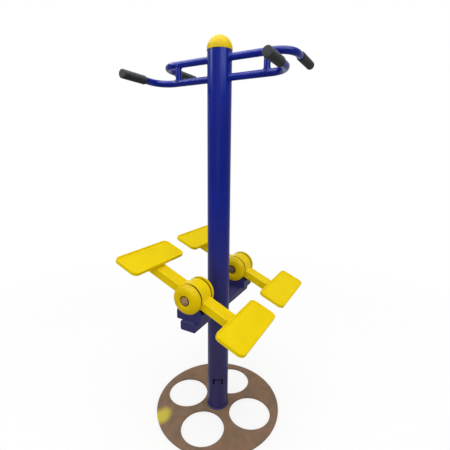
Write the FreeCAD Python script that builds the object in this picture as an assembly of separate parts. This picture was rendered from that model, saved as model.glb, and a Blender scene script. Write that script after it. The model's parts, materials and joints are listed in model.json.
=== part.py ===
"""Outdoor double stepper: a post with two pedal rockers on a cross beam and a pair of handlebars.

Millimetres, +Z up. The origin is the middle of the foundation plate's underside. X runs along the rockers,
Y along their pivot shafts. The front rocker is on the -Y side of the post and the rear one on the +Y side.
"""

import FreeCAD, Part
import math
import os

Vector = FreeCAD.Vector
ORIGIN = Vector(0, 0, 0)
X_AXIS = Vector(1, 0, 0)
Y_AXIS = Vector(0, 1, 0)
Z_AXIS = Vector(0, 0, 1)

# Fits
weld_gap = 0.05              # between coped or welded curved faces
press_gap = 0.02             # radial, between a ring and its seat
slip_gap = 0.2               # between plugs, sleeves or bolts and their holes
stop_gap = 0.3               # between a rocker's lug and the buffer that it rests on
same_point = 1e-6            # outline points nearer than this are one point

# Foundation plate
base_radius = 346.5
base_thickness = 8.0
base_rim_width = 39.0        # metal left outside the holes
base_land_width = 24.0       # metal left between the holes and the post
base_hole_count = 4
base_hole_turn = 5.5         # degrees from +X to the first hole
foot_weld_leg = 6.0

# Post, with a three-sided slot that frees an anchor tang near the foot
post_diameter = 114.3
post_wall = 3.6
post_above_bar = 32.0        # from the upper handlebar's centre line to the post's top
tang_width = 54.0
tang_height = 36.0
tang_slot = 8.0
tang_above_plate = 158.0
tang_bearing = -60.0         # degrees from +X

# Post cap
cap_overhang = 2.0
cap_collar = 5.0
cap_wall = 3.0
cap_bar_clearance = 4.0      # between the cap's plug and the handlebar below it

# Handlebars, struts and grips
lower_bar_height = 1756.0
bar_spacing = 84.0
bar_diameter = 32.0
bar_wall = 2.5
bar_half_span = 338.0        # from the post's axis to the centre line of each leg
bar_bend_radius = 85.0
lower_leg_reach = 265.0      # from the post's axis to the end of each leg
upper_leg_reach = 290.0
strut_diameter = 30.0
strut_wall = 2.5
strut_inset = 21.0           # from the start of the bend to the strut's centre line
lower_grip_length = 135.0    # on the leg
upper_grip_length = 165.0
grip_wall = 4.0
grip_end_wall = 5.0
grip_round = 3.0

# Pivot shaft and the cheeks that carry it
hub_height = 773.0
shaft_diameter = 40.0
shaft_stub = 9.5             # shaft beyond the cheeks' outer faces
cheek_thickness = 8.0
cheek_gap = 1.0              # between the drum and each cheek
cheek_head_radius = 36.0

# Beam under the cheeks
axis_above_beam = 113.0
beam_width = 84.0
beam_height = 48.0
beam_wall = 4.0
beam_corner = 10.0
beam_end_thickness = 6.0
beam_end_round = 4.5
beam_end_margin = 10.5       # beam beyond the outer cheek

# Rocker stop
rocker_tilt = 23.0           # degrees from level to each stop
stop_plate_thickness = 8.0
stop_wall = 6.0              # the stop plate's upturned ends, behind the buffers
lug_tip_half = 5.0
lug_tip_clearance = 8.0      # between the lug's tip and the stop plate
lug_width = 44.0
buffer_thickness = 18.0
buffer_drum_clearance = 2.0
buffer_round = 2.5

# Drum and bearings
drum_radius = 70.0
drum_wall = 5.0
drum_end_margin = 2.5        # drum beyond the arm's side faces
drum_lip = 1.5
drum_shoulder = 4.0
drum_shoulder_width = 4.0
bearing_section = 20.0       # radial height from shaft to seat
bearing_width = 18.0
race_thickness = 5.5
shield_thickness = 1.2
shield_gap = 0.5
snap_ring_thickness = 2.4
snap_ring_depth = 2.3        # into the drum's groove
snap_ring_height = 6.5
snap_ring_opening = 40.0     # degrees
groove_gap = 0.1

# Dust caps and the bolts that hold them
dust_cap_overhang = 1.2
dust_cap_gap = 1.0           # between the cap's rim and the cheek
dust_cap_rim = 13.0
dust_cap_rise = 20.0
dust_cap_wall = 4.0
dust_cap_floor = 5.0
recess_clearance = 2.5
recess_lip = 3.0
washer_radius = 23.0
washer_thickness = 3.0
shaft_bolt_diameter = 24.0
shaft_bolt_flats = 36.0
shaft_bolt_head = 15.0
shaft_bolt_depth = 30.0      # thread in the shaft
thread_run_out = 5.0

# Arms
arm_width = 70.0
arm_height = 45.0
arm_wall = 3.0
arm_corner = 6.0
arm_setback = 16.0           # from the pedal's outer edge to the end of the arm
plug_flange = 4.0
plug_depth = 18.0

# Pedals
pedal_inner = 216.0          # from the pivot axis to the pedal's near edge
pedal_width = 140.0
pedal_length = 365.0
pedal_gap = 91.0             # between the facing ends of the front and rear pedals
pedal_corner = 28.0
pedal_rim = 7.0
pedal_lip = 5.0
pedal_lip_round = 2.5
pedal_lip_share = 0.45       # of the rim's width, the most that the rounding takes
pedal_floor = 4.0
pedal_rib_depth = 7.2
pedal_rib = 5.0
pedal_plate_thickness = 8.0
pedal_plate_inset = 12.0
pedal_bolt_diameter = 8.0
pedal_bolt_flats = 13.0
pedal_bolt_head = 5.3
pedal_bolt_edge = 14.0       # from a bolt's centre to the plate's edge
pedal_bolt_arm_gap = 15.0    # from a bolt's centre to the arm's side
pedal_floor_skin = 1.5       # metal left above a bolt's blind hole

# Radii that follow from the sizes above
post_radius = post_diameter / 2
bar_radius = bar_diameter / 2
strut_radius = strut_diameter / 2
shaft_radius = shaft_diameter / 2
cap_radius = post_radius + cap_overhang
base_hole_radius = (base_radius - base_rim_width - base_land_width - post_radius) / 2
base_hole_pitch_radius = post_radius + base_land_width + base_hole_radius
bearing_seat = shaft_radius + bearing_section
dust_cap_radius = drum_radius + dust_cap_overhang
recess_radius = washer_radius + recess_clearance

# Heights above the floor
upper_bar_height = lower_bar_height + bar_spacing
post_top = upper_bar_height + post_above_bar
beam_top = hub_height - axis_above_beam

# Stations along a pivot shaft, from the middle of its rocker
unit_offset = (pedal_length + pedal_gap) / 2
drum_length = arm_width + 2 * drum_end_margin
drum_half = drum_length / 2
cheek_inner = drum_half + cheek_gap
cheek_outer = cheek_inner + cheek_thickness
shaft_half = cheek_outer + shaft_stub
snap_ring_groove = snap_ring_thickness + 2 * groove_gap
bearing_face = drum_half - drum_lip - snap_ring_groove
bearing_back = bearing_face - bearing_width
beam_reach = unit_offset + cheek_outer + beam_end_margin

# Rocker stop: the lug's flank stands upright, against a buffer, at the end of the swing
tilt = math.radians(rocker_tilt)
lug_reach = axis_above_beam - stop_plate_thickness - lug_tip_clearance
lug_flank = lug_tip_half * math.cos(tilt) + lug_reach * math.sin(tilt)
buffer_inner = lug_flank + stop_gap
buffer_outer = buffer_inner + buffer_thickness
buffer_height = axis_above_beam - stop_plate_thickness - drum_radius - buffer_drum_clearance
stop_half = buffer_outer + stop_wall
stop_rise = stop_plate_thickness + buffer_height

# Places along an arm and heights above the pivot axis, on a level rocker
arm_top = arm_height / 2
arm_end = pedal_inner + pedal_width - arm_setback
pedal_middle = pedal_inner + pedal_width / 2
pedal_underside = arm_top + pedal_plate_thickness
pedal_height = pedal_rib_depth + pedal_floor + pedal_lip
pedal_plate_length = pedal_width - 2 * pedal_plate_inset
pedal_bolt_x = pedal_plate_length / 2 - pedal_bolt_edge
pedal_bolt_y = arm_width / 2 + pedal_bolt_arm_gap
pedal_plate_width = 2 * (pedal_bolt_y + pedal_bolt_edge)
pedal_thread = pedal_rib_depth + pedal_floor - pedal_floor_skin


def xy(x, y):
    return Vector(x, y, 0)


def xz(x, z):
    return Vector(x, 0, z)


def yz(y, z):
    return Vector(0, y, z)


class Outline:
    """A closed flat outline, drawn from point to point in the plane that the function `plane` gives."""

    def __init__(self, plane, *start):
        self.plane = plane
        self.start = start
        self.here = start
        self.edges = []

    def line(self, *end):
        self.edges.append(Part.LineSegment(self.plane(*self.here), self.plane(*end)).toShape())
        self.here = end
        return self

    def arc(self, through, end):
        curve = Part.Arc(self.plane(*self.here), self.plane(*through), self.plane(*end))
        self.edges.append(curve.toShape())
        self.here = end
        return self

    def face(self):
        if math.dist(self.here, self.start) > same_point:
            self.line(*self.start)
        return Part.Face(Part.Wire(self.edges))


def quarter_arc(outline, centre, radius, from_angle):
    """Adds a quarter circle, anticlockwise from `from_angle` degrees, to an outline."""
    middle = math.radians(from_angle + 45)
    last = math.radians(from_angle + 90)
    through = (centre[0] + radius * math.cos(middle), centre[1] + radius * math.sin(middle))
    end = (centre[0] + radius * math.cos(last), centre[1] + radius * math.sin(last))
    outline.arc(through, end)


def rounded_rectangle(plane, width, height, radius):
    """Face of a rectangle about the plane's origin, with round corners."""
    half_w = width / 2
    half_h = height / 2
    outline = Outline(plane, half_w, radius - half_h)
    outline.line(half_w, half_h - radius)
    quarter_arc(outline, (half_w - radius, half_h - radius), radius, 0)
    outline.line(radius - half_w, half_h)
    quarter_arc(outline, (radius - half_w, half_h - radius), radius, 90)
    outline.line(-half_w, radius - half_h)
    quarter_arc(outline, (radius - half_w, radius - half_h), radius, 180)
    outline.line(half_w - radius, -half_h)
    quarter_arc(outline, (half_w - radius, radius - half_h), radius, 270)
    return outline.face()


def moved(shape, x=0.0, y=0.0, z=0.0):
    return shape.translated(Vector(x, y, z))


def block(x_range, y_range, z_range):
    """Box between two limits on each axis."""
    size = [high - low for low, high in (x_range, y_range, z_range)]
    return Part.makeBox(*size, Vector(x_range[0], y_range[0], z_range[0]))


def ring(inner, outer, low, high):
    """Plain ring about the Y axis, between two stations."""
    outline = Outline(xy, inner, low).line(outer, low).line(outer, high).line(inner, high)
    return outline.face().revolve(ORIGIN, Y_AXIS, 360)


def rod(radius, low, high):
    """Cylinder about the Y axis, between two stations."""
    return Part.makeCylinder(radius, high - low, Vector(0, low, 0), Y_AXIS)


def hexagon_prism(flats, height):
    """Hexagon about the Z axis, standing on z = 0."""
    radius = flats / math.sqrt(3)
    corners = [Vector(radius, 0, 0)]
    for step in range(1, 7):
        angle = math.radians(60 * step)
        corners.append(Vector(radius * math.cos(angle), radius * math.sin(angle), 0))
    return Part.Face(Part.makePolygon(corners)).extrude(Vector(0, 0, height))


def both_ends(piece):
    """A piece near one end of a shaft, and its mirror image at the other end."""
    return [piece, piece.mirror(ORIGIN, Y_AXIS)]


def base_plate():
    """Round plate with a ring of large holes."""
    plate = Part.makeCylinder(base_radius, base_thickness)
    hole = Part.makeCylinder(base_hole_radius, base_thickness, Vector(base_hole_pitch_radius, 0, 0))
    for index in range(base_hole_count):
        turned_hole = hole.copy()
        turned_hole.rotate(ORIGIN, Z_AXIS, base_hole_turn + index * 360 / base_hole_count)
        plate = plate.cut(turned_hole)
    return plate


def foot_weld():
    """Three-sided bead in the corner between plate and post."""
    inner = post_radius + weld_gap
    outline = Outline(xz, inner, base_thickness)
    outline.line(inner + foot_weld_leg, base_thickness).line(inner, base_thickness + foot_weld_leg)
    return outline.face().revolve(ORIGIN, Z_AXIS, 360)


def tang_slots():
    """Three slots round the anchor tang, through one wall of the post."""
    low = base_thickness + tang_above_plate
    high = low + tang_height
    half = tang_width / 2
    depth = (0, post_diameter)
    slots = block(depth, (-half, half), (high - tang_slot, high))
    slots = slots.fuse(block(depth, (-half, tang_slot - half), (low, high)))
    slots = slots.fuse(block(depth, (half - tang_slot, half), (low, high)))
    slots.rotate(ORIGIN, Z_AXIS, tang_bearing)
    return slots


def post():
    """Tube with cross holes for the handlebars and the slots of the anchor tang."""
    length = post_top - base_thickness
    tube = Part.makeCylinder(post_radius, length, Vector(0, 0, base_thickness))
    tube = tube.cut(Part.makeCylinder(post_radius - post_wall, length, Vector(0, 0, base_thickness)))
    for height in (lower_bar_height, upper_bar_height):
        start = Vector(-post_diameter, 0, height)
        tube = tube.cut(Part.makeCylinder(bar_radius + weld_gap, 2 * post_diameter, start, X_AXIS))
    return tube.cut(tang_slots())


def post_cap():
    """Half-round dome on a short collar, with a plug that enters the post above the upper handlebar."""
    plug_outer = post_radius - post_wall - slip_gap
    plug_inner = plug_outer - cap_wall
    plug_depth_below = post_above_bar - bar_radius - cap_bar_clearance
    inside_radius = cap_radius - cap_wall
    slope = math.sqrt(0.5)
    shoulder_drop = math.sqrt(inside_radius ** 2 - plug_inner ** 2)
    middle_angle = math.atan2(shoulder_drop, plug_inner) / 2 + math.pi / 4
    inside_x = inside_radius * math.cos(middle_angle)
    inside_z = cap_collar + inside_radius * math.sin(middle_angle)
    outline = Outline(xz, plug_inner, -plug_depth_below)
    outline.line(plug_outer, -plug_depth_below).line(plug_outer, 0).line(cap_radius, 0)
    outline.line(cap_radius, cap_collar)
    outline.arc((cap_radius * slope, cap_collar + cap_radius * slope), (0, cap_collar + cap_radius))
    outline.line(0, cap_collar + inside_radius)
    outline.arc((inside_x, inside_z), (plug_inner, cap_collar + shoulder_drop))
    return moved(outline.face().revolve(ORIGIN, Z_AXIS, 360), z=post_top)


def bent_bar(radius, toward, reach):
    """Solid U along X at height 0, whose two legs point along Y, towards `toward` (1 or -1)."""
    bend_start = bar_half_span - bar_bend_radius
    sweep = bar_bend_radius * math.sqrt(0.5)
    edges = []
    corners = ((-1, reach, bar_bend_radius), (1, bar_bend_radius, reach))
    for side, first, last in corners:
        edges.append(Part.LineSegment(xy(side * bar_half_span, toward * first),
                                      xy(side * bar_half_span, toward * last)).toShape())
        edges.append(Part.Arc(xy(side * bar_half_span, toward * bar_bend_radius),
                              xy(side * (bend_start + sweep), toward * (bar_bend_radius - sweep)),
                              xy(side * bend_start, 0)).toShape())
    edges.append(Part.LineSegment(xy(-bend_start, 0), xy(bend_start, 0)).toShape())
    path = Part.Wire(Part.__sortEdges__(edges))
    end = Vector(-bar_half_span, toward * reach, 0)
    section = Part.Wire(Part.makeCircle(radius, end, Y_AXIS))
    return path.makePipeShell([section], True, False)


def handlebar(height, toward, reach):
    """Bent tube at its height, open at both ends."""
    tube = bent_bar(bar_radius, toward, reach).cut(bent_bar(bar_radius - bar_wall, toward, reach))
    return moved(tube, z=height)


def strut(side):
    """Short upright tube between the two handlebars, coped to both."""
    x = side * (bar_half_span - bar_bend_radius - strut_inset)
    foot = Vector(x, 0, lower_bar_height)
    tube = Part.makeCylinder(strut_radius, bar_spacing, foot)
    tube = tube.cut(Part.makeCylinder(strut_radius - strut_wall, bar_spacing, foot))
    for height in (lower_bar_height, upper_bar_height):
        start = Vector(x - strut_diameter, 0, height)
        tube = tube.cut(Part.makeCylinder(bar_radius + weld_gap, 2 * strut_diameter, start, X_AXIS))
    return tube


def grip(side, height, toward, reach, length):
    """Rubber sleeve on the end of a leg, closed at its outer end and rounded at both."""
    bore = bar_radius + press_gap
    outer = bore + grip_wall
    end = reach + grip_end_wall
    start = reach - length
    corner = grip_round * (1 - math.sqrt(0.5))
    outline = Outline(xy, bore, start).line(outer - grip_round, start)
    outline.arc((outer - corner, start + corner), (outer, start + grip_round))
    outline.line(outer, end - grip_round)
    outline.arc((outer - corner, end - corner), (outer - grip_round, end))
    outline.line(0, end).line(0, reach).line(bore, reach)
    sleeve = outline.face().revolve(ORIGIN, Y_AXIS, 360)
    if toward < 0:
        sleeve = sleeve.mirror(ORIGIN, Y_AXIS)
    return moved(sleeve, x=side * bar_half_span, z=height)


def beam():
    """Rectangular tube from the post to its closing plate, drawn on the +Y side."""
    length = beam_reach - beam_end_thickness
    outer = rounded_rectangle(xz, beam_width, beam_height, beam_corner)
    inner = rounded_rectangle(xz, beam_width - 2 * beam_wall, beam_height - 2 * beam_wall,
                              beam_corner - beam_wall)
    tube = outer.extrude(Vector(0, length, 0)).cut(inner.extrude(Vector(0, length, 0)))
    tube = moved(tube, z=beam_top - beam_height / 2)
    return tube.cut(Part.makeCylinder(post_radius + weld_gap, post_top))


def beam_end():
    """Plate that closes the beam, rounded along its outer rim."""
    plate = rounded_rectangle(xz, beam_width, beam_height, beam_corner)
    plate = plate.extrude(Vector(0, beam_end_thickness, 0))
    rim = [edge for edge in plate.Edges if edge.BoundBox.YMin > beam_end_thickness / 2]
    plate = plate.makeFillet(beam_end_round, rim)
    return moved(plate, y=beam_reach - beam_end_thickness, z=beam_top - beam_height / 2)


def cheek():
    """Upright plate on the +Y side of a unit: square foot, sides tangent to a round head, shaft hole."""
    foot_top = stop_rise - axis_above_beam
    reach = math.hypot(stop_half, foot_top)
    touch = math.atan2(foot_top, stop_half) + math.acos(cheek_head_radius / reach)
    touch_x = cheek_head_radius * math.cos(touch)
    touch_z = cheek_head_radius * math.sin(touch)
    outline = Outline(xz, -stop_half, -axis_above_beam)
    outline.line(stop_half, -axis_above_beam).line(stop_half, foot_top).line(touch_x, touch_z)
    outline.arc((0, cheek_head_radius), (-touch_x, touch_z)).line(-stop_half, foot_top)
    plate = moved(outline.face().extrude(Vector(0, cheek_thickness, 0)), y=cheek_inner)
    return plate.cut(rod(shaft_radius + press_gap, cheek_inner, cheek_outer))


def stop_plate():
    """Plate between the cheeks, turned up at both ends behind the buffers."""
    low = -axis_above_beam
    across = (-cheek_inner, cheek_inner)
    blank = block((-stop_half, stop_half), across, (low, low + stop_rise))
    channel = block((-buffer_outer, buffer_outer), across, (low + stop_plate_thickness, low + stop_rise))
    return blank.cut(channel)


def buffers():
    """Rubber blocks on the stop plate, one at each end of the lug's swing."""
    low = stop_plate_thickness - axis_above_beam
    half = lug_width / 2
    rubber = block((buffer_inner, buffer_outer), (-half, half), (low, low + buffer_height))
    free_edges = [edge for edge in rubber.Edges if edge.BoundBox.ZMax > low + buffer_height / 2]
    rubber = rubber.makeFillet(buffer_round, free_edges)
    return Part.makeCompound([rubber, rubber.mirror(ORIGIN, X_AXIS)])


def shaft():
    """Fixed bar with a bolt's hole in each end."""
    bar = rod(shaft_radius, -shaft_half, shaft_half)
    hole_end = shaft_half - shaft_bolt_depth - thread_run_out
    thread = rod(shaft_bolt_diameter / 2 + press_gap, hole_end, shaft_half)
    for hole in both_ends(thread):
        bar = bar.cut(hole)
    return bar


def bearing_inner_rings():
    """Inner races on the shaft, one near each end of the drum."""
    inner = shaft_radius + press_gap
    race = ring(inner, inner + race_thickness, bearing_back, bearing_face)
    return Part.makeCompound(both_ends(race))


def bearing_spacers():
    """One sleeve between the inner rings and one outside each of them."""
    inner = shaft_radius + press_gap
    outer = inner + race_thickness
    middle = ring(inner, outer, -bearing_back, bearing_back)
    side = ring(inner, outer, bearing_face, cheek_inner)
    return Part.makeCompound([middle] + both_ends(side))


def dust_cap():
    """Domed cover on the +Y end of a shaft, with a round recess that holds the bolt's head."""
    rim_start = cheek_outer + dust_cap_gap
    rim_end = rim_start + dust_cap_rim
    crown = rim_end + dust_cap_rise
    floor_top = shaft_half + dust_cap_floor
    crown_radius = recess_radius + recess_lip
    slope = math.sqrt(0.5)
    inside_rim = dust_cap_radius - dust_cap_wall
    inside_crown = crown - dust_cap_wall
    tube_outer = recess_radius + dust_cap_wall
    bolt_hole = shaft_bolt_diameter / 2 + slip_gap
    outline = Outline(xy, dust_cap_radius, rim_start).line(dust_cap_radius, rim_end)
    outline.arc((crown_radius + (dust_cap_radius - crown_radius) * slope, rim_end + dust_cap_rise * slope),
                (crown_radius, crown))
    outline.line(recess_radius, crown - recess_lip).line(recess_radius, floor_top)
    outline.line(bolt_hole, floor_top).line(bolt_hole, shaft_half).line(tube_outer, shaft_half)
    outline.line(tube_outer, inside_crown)
    outline.arc((tube_outer + (inside_rim - tube_outer) * slope,
                 rim_end + (inside_crown - rim_end) * slope), (inside_rim, rim_end))
    outline.line(inside_rim, rim_start)
    return outline.face().revolve(ORIGIN, Y_AXIS, 360)


def shaft_bolts():
    """Hexagon bolt and washer at each end of a shaft."""
    seat = shaft_half + dust_cap_floor
    washer = ring(shaft_bolt_diameter / 2 + slip_gap, washer_radius, seat, seat + washer_thickness)
    head = hexagon_prism(shaft_bolt_flats, shaft_bolt_head)
    head.rotate(ORIGIN, X_AXIS, -90)
    head = moved(head, y=seat + washer_thickness)
    bolt = head.fuse(rod(shaft_bolt_diameter / 2, shaft_half - shaft_bolt_depth, seat + washer_thickness))
    return Part.makeCompound(both_ends(washer) + both_ends(bolt))


def drum():
    """Hub shell: an outer wall with a bearing seat, a shoulder and a snap ring groove at each end."""
    seat = bearing_seat + press_gap
    shoulder = bearing_seat - drum_shoulder
    groove = bearing_seat + snap_ring_depth + groove_gap
    web = bearing_back - drum_shoulder_width
    groove_start = drum_half - drum_lip - snap_ring_groove
    groove_end = drum_half - drum_lip
    inside = drum_radius - drum_wall
    outline = Outline(xy, drum_radius, -drum_half).line(drum_radius, drum_half).line(seat, drum_half)
    outline.line(seat, groove_end).line(groove, groove_end).line(groove, groove_start)
    outline.line(seat, groove_start).line(seat, bearing_back).line(shoulder, bearing_back)
    outline.line(shoulder, web).line(inside, web).line(inside, -web).line(shoulder, -web)
    outline.line(shoulder, -bearing_back).line(seat, -bearing_back).line(seat, -groove_start)
    outline.line(groove, -groove_start).line(groove, -groove_end).line(seat, -groove_end)
    outline.line(seat, -drum_half)
    return outline.face().revolve(ORIGIN, Y_AXIS, 360)


def stop_lug():
    """Tapered tooth under a drum, whose flanks lean by the rocker's tilt."""
    root = -drum_radius * math.cos(tilt)
    root_half = lug_tip_half + (lug_reach + root) * math.tan(tilt)
    outline = Outline(xz, -lug_tip_half, -lug_reach).line(lug_tip_half, -lug_reach)
    outline.line(root_half, root).line(-root_half, root)
    tooth = moved(outline.face().extrude(Vector(0, lug_width, 0)), y=-lug_width / 2)
    return tooth.cut(rod(drum_radius + weld_gap, -drum_half, drum_half))


def bearing_outer_rings():
    """Outer races, each with a thin shield on both faces that stops short of the inner race."""
    race_inner = bearing_seat - race_thickness
    shield_inner = shaft_radius + press_gap + race_thickness + shield_gap
    outline = Outline(xy, bearing_seat, bearing_back).line(bearing_seat, bearing_face)
    outline.line(shield_inner, bearing_face).line(shield_inner, bearing_face - shield_thickness)
    outline.line(race_inner, bearing_face - shield_thickness)
    outline.line(race_inner, bearing_back + shield_thickness)
    outline.line(shield_inner, bearing_back + shield_thickness).line(shield_inner, bearing_back)
    race = outline.face().revolve(ORIGIN, Y_AXIS, 360)
    return Part.makeCompound(both_ends(race))


def snap_rings():
    """Open spring rings in the drum's grooves."""
    outer = bearing_seat + snap_ring_depth
    low = bearing_face + groove_gap
    outline = Outline(xy, outer - snap_ring_height, low).line(outer, low)
    outline.line(outer, low + snap_ring_thickness).line(outer - snap_ring_height, low + snap_ring_thickness)
    spring = outline.face().revolve(ORIGIN, Y_AXIS, 360 - snap_ring_opening)
    return Part.makeCompound(both_ends(spring))


def arm():
    """Rectangular tube on the +X side of a level rocker, coped to the drum."""
    outer = rounded_rectangle(yz, arm_width, arm_height, arm_corner)
    inner = rounded_rectangle(yz, arm_width - 2 * arm_wall, arm_height - 2 * arm_wall, arm_corner - arm_wall)
    tube = outer.extrude(Vector(arm_end, 0, 0)).cut(inner.extrude(Vector(arm_end, 0, 0)))
    return tube.cut(rod(drum_radius + weld_gap, -drum_half, drum_half))


def arm_plug():
    """Plastic plug in the end of an arm."""
    bore_width = arm_width - 2 * (arm_wall + slip_gap)
    bore_height = arm_height - 2 * (arm_wall + slip_gap)
    flange = rounded_rectangle(yz, arm_width, arm_height, arm_corner).extrude(Vector(plug_flange, 0, 0))
    core = rounded_rectangle(yz, bore_width, bore_height, arm_corner - arm_wall)
    core = core.extrude(Vector(-plug_depth, 0, 0))
    return moved(flange.fuse(core), x=arm_end)


def pedal_bolt_places():
    """Middles of the four bolts, about the pedal's middle."""
    return [(x, y) for x in (-pedal_bolt_x, pedal_bolt_x) for y in (-pedal_bolt_y, pedal_bolt_y)]


def pedal_plate():
    """Plate on top of an arm, with four bolt holes."""
    half_length = pedal_plate_length / 2
    half_width = pedal_plate_width / 2
    plate = block((-half_length, half_length), (-half_width, half_width), (0, pedal_plate_thickness))
    for x, y in pedal_bolt_places():
        hole = Part.makeCylinder(pedal_bolt_diameter / 2 + slip_gap, pedal_plate_thickness, Vector(x, y, 0))
        plate = plate.cut(hole)
    return moved(plate, x=pedal_middle, z=arm_top)


def pedal_hollows():
    """Space between the ribs under a pedal, round the pad that sits on the plate."""
    inside_width = pedal_width - 2 * pedal_rim
    inside_length = pedal_length - 2 * pedal_rim
    half_plate = pedal_plate_width / 2
    half_inside = inside_length / 2
    hollow = rounded_rectangle(xy, inside_width, inside_length, pedal_corner - pedal_rim)
    hollow = hollow.extrude(Vector(0, 0, pedal_rib_depth))
    depth = (0, pedal_rib_depth)
    across = (-pedal_width, pedal_width)
    hollow = hollow.cut(block(across, (-half_plate, half_plate), depth))
    hollow = hollow.cut(block((-pedal_rib / 2, pedal_rib / 2), (-half_inside, half_inside), depth))
    rib_middle = (half_plate + half_inside) / 2
    for y in (-rib_middle, rib_middle):
        hollow = hollow.cut(block(across, (y - pedal_rib / 2, y + pedal_rib / 2), depth))
    return hollow


def pedal():
    """Cast tray: raised lip round a flat floor, ribs and a bolting pad underneath."""
    tray = rounded_rectangle(xy, pedal_width, pedal_length, pedal_corner)
    tray = tray.extrude(Vector(0, 0, pedal_height))
    inside = rounded_rectangle(xy, pedal_width - 2 * pedal_rim, pedal_length - 2 * pedal_rim,
                               pedal_corner - pedal_rim)
    inside = moved(inside.extrude(Vector(0, 0, pedal_lip)), z=pedal_height - pedal_lip)
    tray = tray.cut(inside).cut(pedal_hollows())
    for x, y in pedal_bolt_places():
        hole = Part.makeCylinder(pedal_bolt_diameter / 2 + press_gap, pedal_thread, Vector(x, y, 0))
        tray = tray.cut(hole)
    lip = [edge for edge in tray.Edges if edge.BoundBox.ZMin > pedal_height - pedal_lip / 2]
    tray = tray.makeFillet(min(pedal_lip_round, pedal_rim * pedal_lip_share), lip)
    return moved(tray, x=pedal_middle, z=pedal_underside)


def pedal_bolt(x, y):
    """Hexagon bolt that enters a pedal from below its plate."""
    shank = Part.makeCylinder(pedal_bolt_diameter / 2, pedal_plate_thickness + pedal_thread, Vector(x, y, 0))
    head = moved(hexagon_prism(pedal_bolt_flats, pedal_bolt_head), x, y, -pedal_bolt_head)
    return moved(shank.fuse(head), x=pedal_middle, z=arm_top)


def left_and_right(piece):
    """A piece on the right of a rocker, and the same piece turned half round to the left."""
    left = piece.copy()
    left.rotate(ORIGIN, Z_AXIS, 180)
    return [left, piece]


def save(node, shape):
    shape.exportStep("parts/" + node + ".step")


def save_frame():
    """Foundation, post and handlebars."""
    save("base_plate", base_plate())
    save("foot_weld", foot_weld())
    save("post", post())
    save("post_cap", post_cap())
    bars = (("lower", lower_bar_height, -1, lower_leg_reach, lower_grip_length),
            ("upper", upper_bar_height, 1, upper_leg_reach, upper_grip_length))
    for level, height, toward, reach, grip_length in bars:
        save(level + "_handlebar", handlebar(height, toward, reach))
        for side_name, side in (("left", -1), ("right", 1)):
            save(level + "_" + side_name + "_grip", grip(side, height, toward, reach, grip_length))
    save("left_strut", strut(-1))
    save("right_strut", strut(1))


def save_pivot(unit, direction):
    """Beam and fixed pivot of one unit; `direction` is the side of the post that it is on, along Y."""

    def on_side(piece, side):
        return piece if side > 0 else piece.mirror(ORIGIN, Y_AXIS)

    def in_place(piece):
        return moved(piece, y=direction * unit_offset, z=hub_height)

    save(unit + "_beam", on_side(beam(), direction))
    save(unit + "_beam_end", on_side(beam_end(), direction))
    for end_name, side in (("outer", direction), ("inner", -direction)):
        save(unit + "_" + end_name + "_cheek", in_place(on_side(cheek(), side)))
        save(unit + "_" + end_name + "_dust_cap", in_place(on_side(dust_cap(), side)))
    save(unit + "_stop_plate", in_place(stop_plate()))
    save(unit + "_buffers", in_place(buffers()))
    save(unit + "_shaft", in_place(shaft()))
    save(unit + "_shaft_bolts", in_place(shaft_bolts()))
    save(unit + "_bearing_inner_rings", in_place(bearing_inner_rings()))
    save(unit + "_bearing_spacers", in_place(bearing_spacers()))


def save_rocker(unit, direction):
    """Swinging pieces of one unit, tilted so that the +X pedal is down and the lug rests on its buffer."""

    def tilted(piece):
        turned = piece.copy()
        turned.rotate(ORIGIN, Y_AXIS, rocker_tilt)
        return moved(turned, y=direction * unit_offset, z=hub_height)

    save(unit + "_drum", tilted(drum()))
    save(unit + "_stop_lug", tilted(stop_lug()))
    save(unit + "_bearing_outer_rings", tilted(bearing_outer_rings()))
    save(unit + "_snap_rings", tilted(snap_rings()))
    for name, piece in (("arm", arm()), ("pedal", pedal())):
        left, right = left_and_right(piece)
        save(unit + "_left_" + name, tilted(left))
        save(unit + "_right_" + name, tilted(right))
    save(unit + "_arm_plugs", tilted(Part.makeCompound(left_and_right(arm_plug()))))
    save(unit + "_pedal_plates", tilted(Part.makeCompound(left_and_right(pedal_plate()))))
    bolts = []
    for x, y in pedal_bolt_places():
        bolts += left_and_right(pedal_bolt(x, y))
    save(unit + "_pedal_bolts", tilted(Part.makeCompound(bolts)))


def main():
    os.makedirs("parts", exist_ok=True)
    save_frame()
    for unit, direction in (("front", -1), ("rear", 1)):
        save_pivot(unit, direction)
        save_rocker(unit, direction)


main()
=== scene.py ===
"""Looks of an outdoor double stepper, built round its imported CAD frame.

Metres, in the frame's own axes: +Z up, X along the rockers, Y along their pivot shafts.
"""

import json
import math

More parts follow.
